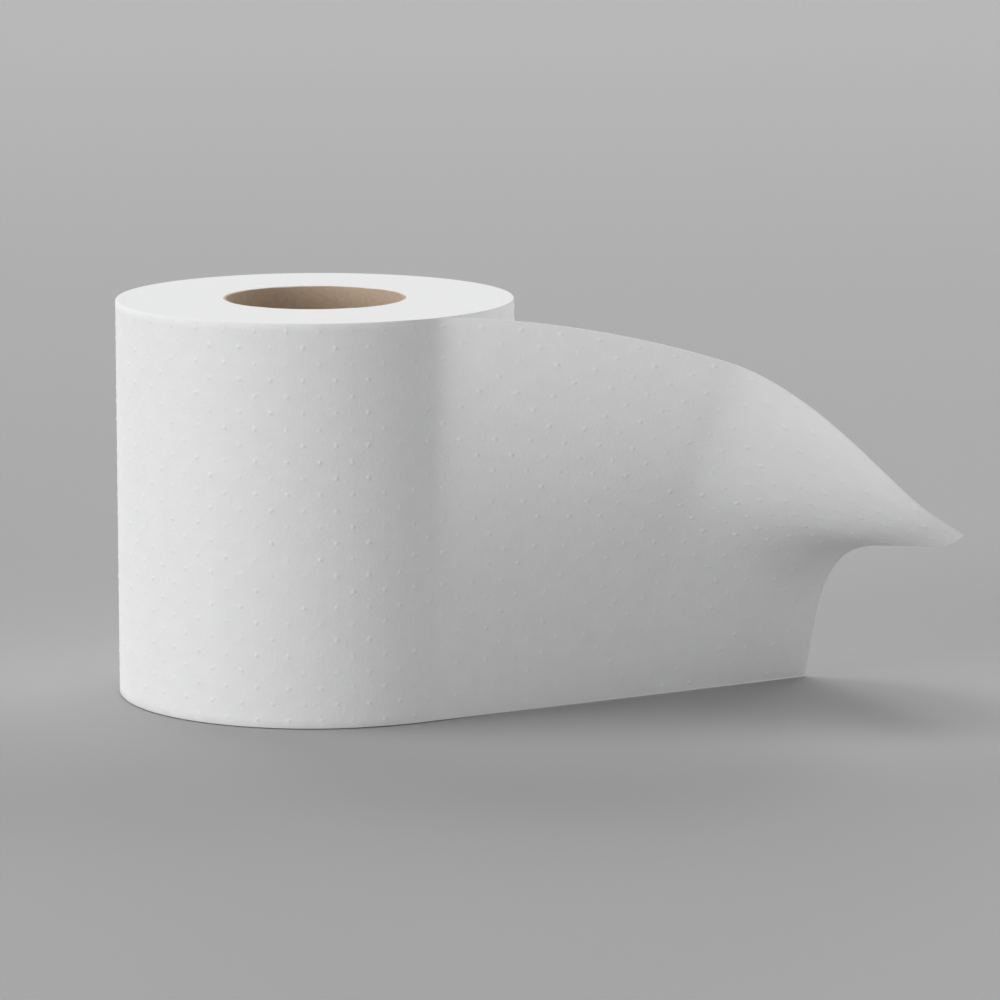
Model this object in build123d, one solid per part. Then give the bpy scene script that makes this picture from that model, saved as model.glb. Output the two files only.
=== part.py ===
from build123d import *
from math import acos, cos, degrees, hypot, radians, sin, sqrt
import os

os.makedirs("parts", exist_ok=True)

# A toilet paper roll, standing on its end. The roll's axis is Z and its base is at Z = 0.
# All sizes are in mm, and all angles in degrees.

ROLL_HEIGHT = 100.0     # width of the paper, and length of the core cut with it
ROLL_DIAMETER = 100.0   # over the outermost turn
CORE_DIAMETER = 46.0    # outside of the cardboard tube, where the first turn sits
CORE_WALL = 0.6
WEB_THICKNESS = 0.3     # two embossed plies

# The loose sheet leaves the roll along a tangent and stands on its lower edge.
SHEET_HEADING = 30.65   # direction of that edge on the table, from +X towards +Y
SHEET_LENGTH = 115.5    # from the tangent point to the free corner on the table
SHEET_FLAT = 6.0        # upright stretch before the sheet begins to lean

# How the free edge leans outward, measured from upright, at the foot and as added on the way up.
FOOT_LEAN = 16.5
CURL = 65.0             # the upper corner flops over
CURL_START = 0.10       # as shares of the sheet's width, from the table up
CURL_END = 0.60
LIP = -19.5             # the last stretch turns up again
LIP_START = 0.84
EDGE_TURN = 4.0         # the free edge slants back towards the roll

# How the lean grows from the roll to the free edge, as shares of the sheet's length.
STEADY_SHARE = 0.775    # part of the lean that grows evenly
FLOP_START = 0.555      # where the rest of it sets in
FLOP_END = 0.93
SOFT_START = 0.02

SECTIONS = 12
PROFILE_STEPS = 20      # points up each profile
ARC_STEPS = 10          # steps of the running sum between two of them


def ease(x):
    """Smooth rise from 0 to 1."""
    x = min(max(x, 0.0), 1.0)
    return x * x * (3 - 2 * x)


def edge_lean(share):
    """Lean of the free edge at a share of the sheet's width."""
    curl = CURL * ease((share - CURL_START) / (CURL_END - CURL_START))
    lip = LIP * ease((share - LIP_START) / (1 - LIP_START))
    return FOOT_LEAN + curl + lip


def lean_growth(along):
    """Share of the free edge's lean that the sheet has at a share of its length."""
    soft_end = hypot(1, SOFT_START) - SOFT_START
    steady = (hypot(along, SOFT_START) - SOFT_START) / soft_end
    flop = ease((along - FLOP_START) / (FLOP_END - FLOP_START))
    return STEADY_SHARE * steady + (1 - STEADY_SHARE) * flop


def sheet_profile(along):
    """Points up the sheet's outer and inner faces, as (outward, up) from its lower edge."""
    growth = lean_growth(along)
    step = ROLL_HEIGHT / (PROFILE_STEPS * ARC_STEPS)
    outward = 0.0
    up = 0.0
    outer = []
    inner = []
    for i in range(PROFILE_STEPS * ARC_STEPS + 1):
        lean = radians(growth * edge_lean(i / (PROFILE_STEPS * ARC_STEPS)))
        if i % ARC_STEPS == 0:
            outer.append((outward, up))
            inner.append((outward - WEB_THICKNESS * cos(lean), up + WEB_THICKNESS * sin(lean)))
        middle = (i + 0.5) / (PROFILE_STEPS * ARC_STEPS)
        lean = radians(growth * edge_lean(middle))
        outward += step * sin(lean)
        up += step * cos(lean)
    return outer, inner


def sheet_section(along):
    """Closed outline of the sheet, square to its run."""
    travel = SHEET_FLAT + along * (SHEET_LENGTH - SHEET_FLAT)
    turn = radians(along * EDGE_TURN)
    foot = tangent_point + travel * heading
    sideways = cos(turn) * outward_dir - sin(turn) * heading
    plane = Plane(origin=foot, x_dir=sideways, z_dir=sideways.cross(Vector(0, 0, 1)))
    outer, inner = sheet_profile(along)
    front = Spline(*[plane.from_local_coords(point) for point in outer])
    back = Spline(*[plane.from_local_coords(point) for point in reversed(inner)])
    top = Line(front @ 1, back @ 0)
    foot_edge = Line(back @ 1, front @ 0)
    return Wire([front, top, back, foot_edge])


roll_radius = ROLL_DIAMETER / 2
core_radius = CORE_DIAMETER / 2
heading = Vector(cos(radians(SHEET_HEADING)), sin(radians(SHEET_HEADING)), 0)
outward_dir = Vector(sin(radians(SHEET_HEADING)), -cos(radians(SHEET_HEADING)), 0)
tangent_point = roll_radius * outward_dir

# cardboard_core: a thin tube, open at both ends.
core = extrude(Circle(core_radius) - Circle(core_radius - CORE_WALL), ROLL_HEIGHT)

# tissue_web: the wound turns are one solid, and the last one runs off along the tangent.
clear_angle = degrees(acos(1 - WEB_THICKNESS / roll_radius))
clear_run = sqrt(roll_radius**2 - (roll_radius - WEB_THICKNESS) ** 2)
run_end = tangent_point + SHEET_FLAT * heading
turns_edge = CenterArc((0, 0), roll_radius, SHEET_HEADING - 90, clear_angle - 360)
outer_run = Line(tangent_point, run_end)
run_cut = Line(run_end, run_end - WEB_THICKNESS * outward_dir)
inner_run = Line(run_cut @ 1, tangent_point + clear_run * heading - WEB_THICKNESS * outward_dir)
turns_outline = make_face(Wire([turns_edge, outer_run, run_cut, inner_run]))
turns = extrude(turns_outline - Circle(core_radius), ROLL_HEIGHT)
loose_sheet = Solid.make_loft([sheet_section(i / SECTIONS) for i in range(SECTIONS + 1)])
tissue = turns + loose_sheet

export_step(core, "parts/cardboard_core.step")
export_step(tissue, "parts/tissue_web.step")
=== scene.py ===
import bpy
import math
import random
import numpy as np
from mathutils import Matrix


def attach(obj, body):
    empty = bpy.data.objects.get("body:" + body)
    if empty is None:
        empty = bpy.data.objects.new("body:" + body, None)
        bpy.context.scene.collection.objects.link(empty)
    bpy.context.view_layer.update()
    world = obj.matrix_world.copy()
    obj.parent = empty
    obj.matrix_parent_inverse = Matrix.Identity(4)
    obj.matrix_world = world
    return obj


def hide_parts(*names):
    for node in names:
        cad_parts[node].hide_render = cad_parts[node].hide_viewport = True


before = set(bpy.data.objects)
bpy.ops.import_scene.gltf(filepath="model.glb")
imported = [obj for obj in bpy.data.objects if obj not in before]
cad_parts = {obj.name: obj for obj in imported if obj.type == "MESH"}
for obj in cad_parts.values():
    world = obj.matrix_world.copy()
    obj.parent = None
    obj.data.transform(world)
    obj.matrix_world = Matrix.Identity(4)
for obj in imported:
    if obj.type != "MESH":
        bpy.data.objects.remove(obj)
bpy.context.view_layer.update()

# ---------------------------------------------------------------------------------------------
# Cardboard core. Two plies of brown kraft board are wound in a spiral on a mandrel, glued,
# and cut to the width of the paper. The inner ply's edges meet in a shallow spiral seam.
# ---------------------------------------------------------------------------------------------

CORE_OUTSIDE = 23.0        # radii and lengths in mm
CORE_INSIDE = 22.4
CORE_LENGTH = 100.0
SEAM_RISE = 78.0           # rise of the spiral seam in one turn
SEAM_DEPTH = 0.12
CORE_SIDES = 144
CORE_ROWS = 50


def mesh_piece(name, points_mm, faces):
    """A piece from points in mm, smooth but for its corners."""
    mesh = bpy.data.meshes.new(name)
    mesh.from_pydata([tuple(point) for point in np.asarray(points_mm) / 1000], [], faces)
    mesh.validate()
    mesh.shade_smooth()
    mesh.set_sharp_from_angle(angle=math.radians(40))
    piece = bpy.data.objects.new(name, mesh)
    bpy.context.scene.collection.objects.link(piece)
    return piece


def cut_edge_wobble(angle):
    """Unevenness of a sawn board edge, in mm."""
    return 0.05 * math.sin(7 * angle + 0.6) + 0.035 * math.sin(19 * angle + 2.1)


core_points = []
core_faces = []
for row in range(CORE_ROWS + 1):
    height = CORE_LENGTH * row / CORE_ROWS
    for side in range(CORE_SIDES):
        angle = 2 * math.pi * (side / CORE_SIDES + height / SEAM_RISE)
        seam = SEAM_DEPTH if side == 0 else 0.0
        inner = CORE_INSIDE + seam
        level = height
        if row in (0, CORE_ROWS):
            inward = 1 if row == 0 else -1
            level += inward * (0.09 + cut_edge_wobble(angle))
        core_points.append((inner * math.cos(angle), inner * math.sin(angle), level))
        core_points.append((CORE_OUTSIDE * math.cos(angle), CORE_OUTSIDE * math.sin(angle), level))
for row in range(CORE_ROWS):
    for side in range(CORE_SIDES):
        here = 2 * (row * CORE_SIDES + side)
        beside = 2 * (row * CORE_SIDES + (side + 1) % CORE_SIDES)
        above = here + 2 * CORE_SIDES
        across = beside + 2 * CORE_SIDES
        core_faces.append((here, above, across, beside))
        core_faces.append((here + 1, beside + 1, across + 1, above + 1))
for side in range(CORE_SIDES):
    here = 2 * side
    beside = 2 * ((side + 1) % CORE_SIDES)
    top = 2 * CORE_ROWS * CORE_SIDES
    core_faces.append((here, beside, beside + 1, here + 1))
    core_faces.append((top + here, top + here + 1, top + beside + 1, top + beside))
core = mesh_piece("core_tube", core_points, core_faces)


def new_material(name):
    """A node material, its node tree and its shader."""
    material = bpy.data.materials.new(name)
    material.use_nodes = True
    return material, material.node_tree, material.node_tree.nodes["Principled BSDF"]


def two_tones(tree, source, low, high, first, second):
    """Colours a value between two tones."""
    ramp = tree.nodes.new("ShaderNodeValToRGB")
    ramp.color_ramp.elements[0].position = low
    ramp.color_ramp.elements[0].color = (*first, 1)
    ramp.color_ramp.elements[1].position = high
    ramp.color_ramp.elements[1].color = (*second, 1)
    tree.links.new(source, ramp.inputs["Fac"])
    return ramp.outputs["Color"]


def fine_noise(tree, coordinates, stretch, scale, detail):
    """Noise in metres, stretched along the axes."""
    mapping = tree.nodes.new("ShaderNodeMapping")
    mapping.inputs["Scale"].default_value = stretch
    tree.links.new(coordinates, mapping.inputs["Vector"])
    noise = tree.nodes.new("ShaderNodeTexNoise")
    noise.inputs["Scale"].default_value = scale
    noise.inputs["Detail"].default_value = detail
    tree.links.new(mapping.outputs["Vector"], noise.inputs["Vector"])
    return noise.outputs["Fac"]


def raise_bump(tree, source, strength, distance, under=None):
    """A bump over the shader's normal, or over the bump under it."""
    bump = tree.nodes.new("ShaderNodeBump")
    bump.inputs["Strength"].default_value = strength
    bump.inputs["Distance"].default_value = distance
    tree.links.new(source, bump.inputs["Height"])
    if under is not None:
        tree.links.new(under, bump.inputs["Normal"])
    return bump.outputs["Normal"]


board, tree, shader = new_material("core_board")
place = tree.nodes.new("ShaderNodeTexCoord").outputs["Object"]
pulp = fine_noise(tree, place, (1, 1, 1), 900, 4)
fibres = fine_noise(tree, place, (1, 1, 5), 900, 3)
tree.links.new(two_tones(tree, pulp, 0.25, 0.75, (0.515, 0.4, 0.298), (0.6, 0.472, 0.358)),
               shader.inputs["Base Color"])
tree.links.new(raise_bump(tree, fibres, 0.35, 0.00012), shader.inputs["Normal"])
shader.inputs["Roughness"].default_value = 0.8
shader.inputs["Specular IOR Level"].default_value = 0.3
core.data.materials.append(board)
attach(core, "root")
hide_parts("cardboard_core")

# ---------------------------------------------------------------------------------------------
# Tissue. One web of soft two-ply crepe paper, embossed with small raised dots, is wound tight
# on the core. Its last sheet is pulled off along a tangent, stands on its lower edge, and its
# upper corner flops over outward.
# ---------------------------------------------------------------------------------------------

ROLL_RADIUS = 50.0
WEB_WIDTH = 100.0
WEB_THICKNESS = 0.3
SHEET_HEADING = math.radians(30.65)         # of the sheet's lower edge on the table, from +X
SHEET_LENGTH = 115.5       # from where it leaves the roll to the free corner on the table
SHEET_FLAT = 6.0           # upright stretch before it begins to lean

# How the free edge leans outward, in degrees, at the foot and as added on the way up. The
# starts and ends are shares of the web's width.
FOOT_LEAN = 16.5
CURL, CURL_START, CURL_END = 65.0, 0.10, 0.60
LIP, LIP_START = -19.5, 0.84
EDGE_TURN = 4.0            # the free edge slants back towards the roll
LEAN_PARTS = 48            # parts of the height that the lean is summed over

# How the lean grows from the roll to the free edge: a steady part with a soft start, and a
# flop further out. The start and end are shares of the sheet's length.
STEADY_SHARE, SOFT_START = 0.775, 0.02
FLOP_START, FLOP_END = 0.555, 0.93

DOT_RINGS = ((0.9, 0.0), (0.66, 0.1), (0.46, 0.62), (0.24, 0.95))   # radius, share of height
DOT_HEIGHT = 0.15          # the tallest; the soft paper lets the others sink
DOT_SIDES = 8
DOT_BLOCK = 4
SQUARE = 2                 # of the net that the paper is laid in
EDGE_STRIP = 0.25          # narrow strip of the net along each cut edge
SHOULDER = 0.2             # the cut ends of the outer turns are pressed in a little


def ease(x):
    """Smooth rise from 0 to 1."""
    x = np.clip(x, 0, 1)
    return x * x * (3 - 2 * x)


def edge_lean(share):
    """Lean of the free edge in degrees, at a share of the web's width."""
    curl = CURL * ease((share - CURL_START) / (CURL_END - CURL_START))
    lip = LIP * ease((share - LIP_START) / (1 - LIP_START))
    return FOOT_LEAN + curl + lip


def web_place(along, up):
    """Points of the web's outer face: along it from where it leaves the roll, and up it."""
    heading = np.array([math.cos(SHEET_HEADING), math.sin(SHEET_HEADING)])
    outward = np.array([math.sin(SHEET_HEADING), -math.cos(SHEET_HEADING)])
    share = np.clip((along - SHEET_FLAT) / (SHEET_LENGTH - SHEET_FLAT), 0, None)
    flop = ease((share - FLOP_START) / (FLOP_END - FLOP_START))
    steady = (np.hypot(share, SOFT_START) - SOFT_START) / (math.hypot(1, SOFT_START) - SOFT_START)
    growth = STEADY_SHARE * steady + (1 - STEADY_SHARE) * flop
    parts = (np.arange(LEAN_PARTS) + 0.5) / LEAN_PARTS
    lean = np.radians(growth[:, None] * edge_lean(up[:, None] / WEB_WIDTH * parts))
    reach = up * np.sin(lean).mean(axis=1)
    height = up * np.cos(lean).mean(axis=1)
    turn = np.radians(share * EDGE_TURN)
    loose = np.outer(np.maximum(along, 0) - reach * np.sin(turn), heading)
    loose += np.outer(ROLL_RADIUS + reach * np.cos(turn), outward)
    angle = SHEET_HEADING - math.pi / 2 + along / ROLL_RADIUS
    wound = ROLL_RADIUS * np.stack([np.cos(angle), np.sin(angle)], axis=1)
    plan = np.where(along[:, None] < 0, wound, loose)
    return np.column_stack([plan, height])


def web_outward(along, up):
    """The way that the web's outer face looks at a point."""
    step = 0.05
    run = web_place(along + step, up) - web_place(along - step, up)
    rise = web_place(along, up + step) - web_place(along, up - step)
    normal = np.cross(run, rise)
    return normal / np.linalg.norm(normal, axis=1)[:, None]


# The last turn starts where the loose sheet's inner face clears the roll.
clear_run = math.sqrt(ROLL_RADIUS**2 - (ROLL_RADIUS - WEB_THICKNESS) ** 2)
clear_turn = ROLL_RADIUS * math.acos(1 - WEB_THICKNESS / ROLL_RADIUS)
turn_start = clear_turn - 2 * math.pi * ROLL_RADIUS
first_column = SQUARE * math.ceil(turn_start / SQUARE)
columns = [turn_start] + list(range(first_column, int(SHEET_LENGTH) + 1, SQUARE)) + [SHEET_LENGTH]
rows = [0, EDGE_STRIP] + list(range(SQUARE, int(WEB_WIDTH), SQUARE))
rows += [WEB_WIDTH - EDGE_STRIP, WEB_WIDTH]
last_row = len(rows) - 1


class Web:
    """Collects the points and faces of the paper before they become one mesh."""

    def __init__(self):
        self.along = []
        self.up = []
        self.raised = []
        self.depth = []
        self.faces = []

    def point(self, along, up, raised=0.0, depth=0.0):
        self.along.append(along)
        self.up.append(up)
        self.raised.append(raised)
        self.depth.append(depth)
        return len(self.along) - 1


web = Web()
stamp = random.Random(4)


def lay_face(start, depth):
    """One face of the web as a net of 2 mm squares, with a dot in every other 4 mm block."""
    net = {}
    for c in range(start, len(columns)):
        for r in range(len(rows)):
            net[c, r] = web.point(columns[c], rows[r], depth=depth)
    done = set()
    for c in range(start, len(columns) - 2):
        if columns[c] % DOT_BLOCK != SQUARE or columns[c + 2] - columns[c] != DOT_BLOCK:
            continue
        for r in range(1, last_row - 1, 2):
            middle, level = columns[c + 1], rows[r + 1]
            if (middle // DOT_BLOCK + level // DOT_BLOCK) % 2:
                continue
            height = DOT_HEIGHT * stamp.uniform(0.35, 1)
            border = [net[c, r], net[c + 1, r], net[c + 2, r], net[c + 2, r + 1],
                      net[c + 2, r + 2], net[c + 1, r + 2], net[c, r + 2], net[c, r + 1]]
            for radius, share in DOT_RINGS:
                ring = []
                for side in range(DOT_SIDES):
                    angle = math.radians(225 + 360 * side / DOT_SIDES)
                    ring.append(web.point(middle + radius * math.cos(angle),
                                          level + radius * math.sin(angle),
                                          share * height, depth))
                for side in range(DOT_SIDES):
                    after = (side + 1) % DOT_SIDES
                    web.faces.append((border[side], border[after], ring[after], ring[side]))
                border = ring
            web.raised[net[c + 1, r + 1]] = height
            for side in range(DOT_SIDES):
                web.faces.append((border[side], border[(side + 1) % DOT_SIDES], net[c + 1, r + 1]))
            done.update({(c, r), (c + 1, r), (c, r + 1), (c + 1, r + 1)})
    for c in range(start, len(columns) - 1):
        for r in range(last_row):
            if (c, r) not in done:
                web.faces.append((net[c, r], net[c + 1, r], net[c + 1, r + 1], net[c, r + 1]))
    return net


outer_face = lay_face(0, 0.0)
leave = columns.index(0)
clear = columns.index(SQUARE * math.ceil(clear_run / SQUARE))
inner_face = lay_face(clear, WEB_THICKNESS)

# The inner face of the loose sheet starts on the roll, at the start of the last turn.
for r in range(last_row):
    web.faces.append((outer_face[0, r], inner_face[clear, r],
                      inner_face[clear, r + 1], outer_face[0, r + 1]))
# The free edge.
end = len(columns) - 1
for r in range(last_row):
    web.faces.append((outer_face[end, r], inner_face[end, r],
                      inner_face[end, r + 1], outer_face[end, r + 1]))
# The upper and lower cut edges of the loose sheet.
tucked = {}
for r in (0, last_row):
    tucked[r] = [web.point(columns[leave + k], rows[r]) for k in (1, 2)]
    under_2, under_4 = tucked[r]
    line = [outer_face[leave + k, r] for k in range(4)]
    web.faces.append((line[0], line[1], under_2))
    web.faces.append((line[1], line[2], under_4, under_2))
    web.faces.append((line[2], outer_face[0, r], under_4))
    web.faces.append((line[2], line[3], inner_face[clear, r], outer_face[0, r]))
    for c in range(clear, end):
        web.faces.append((outer_face[c, r], outer_face[c + 1, r],
                          inner_face[c + 1, r], inner_face[c, r]))

web_along = np.array(web.along, dtype=float)
web_up = np.array(web.up, dtype=float)
facing = web_outward(web_along, web_up)
web_points = web_place(web_along, web_up)
web_points += (np.array(web.raised) - np.array(web.depth))[:, None] * facing
for r in (0, last_row):
    for index, run in zip(tucked[r], (SQUARE, 2 * SQUARE)):
        angle = SHEET_HEADING - math.pi / 2 + run / ROLL_RADIUS
        web_points[index] = (ROLL_RADIUS * math.cos(angle), ROLL_RADIUS * math.sin(angle), rows[r])
    for c in range(leave + 1):
        pressed = SHOULDER * min(1, c / 4, (leave - c) / 4)
        web_points[outer_face[c, r], :2] *= 1 - pressed / ROLL_RADIUS

# The two ends of the roll, turn edge by turn edge, and the bore that the core fills.
END_RINGS = [48.6, 47, 45, 43, 41, 39, 37, 35, 33, 31, 29, 27, 25, 23]
side_count = len(web.faces)
end_points = [tuple(point) for point in web_points]
end_faces = []
bore = {}
for r in (0, last_row):
    ring = [outer_face[c, r] for c in range(leave + 1)] + tucked[r]
    directions = [np.array(end_points[index][:2]) for index in ring]
    directions = [direction / np.linalg.norm(direction) for direction in directions]
    for radius in END_RINGS:
        inner_ring = []
        for direction in directions:
            end_points.append((*(radius * direction), rows[r]))
            inner_ring.append(len(end_points) - 1)
        for side in range(len(ring)):
            after = (side + 1) % len(ring)
            end_faces.append((ring[side], ring[after], inner_ring[after], inner_ring[side]))
        ring = inner_ring
    bore[r] = ring
for side in range(len(bore[0])):
    after = (side + 1) % len(bore[0])
    end_faces.append((bore[0][side], bore[0][after], bore[last_row][after], bore[last_row][side]))

tissue = mesh_piece("tissue_web_and_sheet", end_points, web.faces + end_faces)
layout = tissue.data.uv_layers.new(name="web")
flat_places = [(a / 1000, u / 1000) for a, u in zip(web.along, web.up)]
flat_places += [(point[0] / 1000, point[1] / 1000) for point in end_points[len(flat_places):]]
for loop in tissue.data.loops:
    layout.data[loop.index].uv = flat_places[loop.vertex_index]

bpy.context.view_layer.objects.active = tissue
tissue.select_set(True)
bpy.ops.object.mode_set(mode="EDIT")
bpy.ops.mesh.select_all(action="SELECT")
bpy.ops.mesh.normals_make_consistent(inside=False)
bpy.ops.object.mode_set(mode="OBJECT")

crepe, tree, shader = new_material("tissue_crepe")
spread = tree.nodes.new("ShaderNodeTexCoord").outputs["UV"]
cloud = fine_noise(tree, spread, (1, 1, 1), 160, 4)
ridges = fine_noise(tree, spread, (1, 0.8, 1), 1300, 3)
pillows = fine_noise(tree, spread, (1, 1, 1), 260, 2)
tree.links.new(two_tones(tree, cloud, 0.25, 0.75, (0.835, 0.838, 0.838), (0.865, 0.868, 0.868)),
               shader.inputs["Base Color"])
soft = raise_bump(tree, pillows, 0.35, 0.0002)
tree.links.new(raise_bump(tree, ridges, 0.6, 0.00012, soft), shader.inputs["Normal"])
shader.inputs["Roughness"].default_value = 0.95
shader.inputs["Specular IOR Level"].default_value = 0.15
tissue.data.materials.append(crepe)

turn_edges, tree, shader = new_material("tissue_turn_edges")
place = tree.nodes.new("ShaderNodeTexCoord").outputs["Object"]
flat = tree.nodes.new("ShaderNodeVectorMath")
flat.operation = "MULTIPLY"
flat.inputs[1].default_value = (1, 1, 0)
tree.links.new(place, flat.inputs[0])
from_axis = tree.nodes.new("ShaderNodeVectorMath")
from_axis.operation = "LENGTH"
tree.links.new(flat.outputs["Vector"], from_axis.inputs[0])
turns = tree.nodes.new("ShaderNodeTexNoise")
turns.noise_dimensions = "1D"
turns.inputs["Scale"].default_value = 1400
turns.inputs["Detail"].default_value = 3
tree.links.new(from_axis.outputs["Value"], turns.inputs["W"])
lint = fine_noise(tree, place, (1, 1, 1), 1800, 3)
tree.links.new(two_tones(tree, turns.outputs["Fac"], 0.2, 0.8, (0.818, 0.821, 0.821),
                         (0.848, 0.851, 0.851)), shader.inputs["Base Color"])
lined = raise_bump(tree, turns.outputs["Fac"], 0.25, 0.00006)
tree.links.new(raise_bump(tree, lint, 0.3, 0.00004, lined), shader.inputs["Normal"])
shader.inputs["Roughness"].default_value = 0.95
shader.inputs["Specular IOR Level"].default_value = 0.15
tissue.data.materials.append(turn_edges)
for polygon in tissue.data.polygons:
    polygon.material_index = 1 if polygon.index >= side_count else 0
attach(tissue, "root")
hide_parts("tissue_web")

# ---------------------------------------------------------------------------------------------
# The table, the light and the camera. A wide, plain sheet of grey paper, its grey painted lighter
# towards its far end as painted light for the studio light's falloff, stands under soft studio
# light: strong low lamps from the left, weaker ones from all the other sides, and an even glow all
# round.
# ---------------------------------------------------------------------------------------------

TABLE_SIZE = 40            # lengths in metres
TABLE_MIDDLE = 8           # how far behind the roll the table's middle is
PAINTED_LIGHT_FROM, PAINTED_LIGHT_TO = 0.4, 2.0             # behind the roll; between these the painted light on the table rises from its near to its far tone

bpy.ops.mesh.primitive_plane_add(size=TABLE_SIZE, location=(0, TABLE_MIDDLE, -0.0002))
table = bpy.context.object
table.name = "table"
grey, tree, shader = new_material("table_grey")
place = tree.nodes.new("ShaderNodeTexCoord").outputs["Object"]
split = tree.nodes.new("ShaderNodeSeparateXYZ")
tree.links.new(place, split.inputs["Vector"])
depth = tree.nodes.new("ShaderNodeMapRange")
depth.inputs["From Min"].default_value = PAINTED_LIGHT_FROM - TABLE_MIDDLE
depth.inputs["From Max"].default_value = PAINTED_LIGHT_TO - TABLE_MIDDLE
tree.links.new(split.outputs["Y"], depth.inputs["Value"])
# Painted light: the table's grey rises from 0.4 near the roll to 0.46 far behind it, standing in
# for the studio light's falloff.
tree.links.new(two_tones(tree, depth.outputs["Result"], 0, 1, (0.4, 0.4, 0.4), (0.46, 0.46, 0.46)),
               shader.inputs["Base Color"])
shader.inputs["Roughness"].default_value = 0.9
shader.inputs["Specular IOR Level"].default_value = 0.1
table.data.materials.append(grey)

world = bpy.data.worlds.new("studio")
bpy.context.scene.world = world
world.use_nodes = True
world.node_tree.nodes["Background"].inputs["Color"].default_value = (1, 1, 1, 1)
world.node_tree.nodes["Background"].inputs["Strength"].default_value = 0.15

# Each lamp: the side that it stands on in degrees round from the front, its height in
# degrees, and how bright a white sheet square to it gets.
STUDIO_LAMPS = {
    "left_low": (-60, 8, 0.57),
    "left_high": (-90, 55, 0.30),
    "right_front": (30, 8, 0.20),
    "right_back": (120, 8, 0.23),
    "back_low": (180, 8, 0.25),
    "back_left": (-150, 30, 0.21),
    "back_right": (150, 30, 0.19),
    "overhead": (0, 90, 0.16),
}
for name, (side, rise, strength) in STUDIO_LAMPS.items():
    lamp = bpy.data.lights.new(name, "SUN")
    lamp.energy = math.pi * strength
    lamp.angle = math.radians(30)
    holder = bpy.data.objects.new(name, lamp)
    holder.rotation_euler = (math.radians(90 - rise), 0, math.radians(side))
    bpy.context.scene.collection.objects.link(holder)

camera = bpy.data.objects.new("camera", bpy.data.cameras.new("camera"))
camera.location = (0.04645, -1.30855, 0.2682)
camera.rotation_euler = (math.radians(90 - 9.534), 0, 0)
camera.data.lens = 189.1
camera.data.sensor_width = 36
bpy.context.scene.collection.objects.link(camera)
bpy.context.scene.camera = camera
bpy.context.scene.view_settings.view_transform = "Standard"
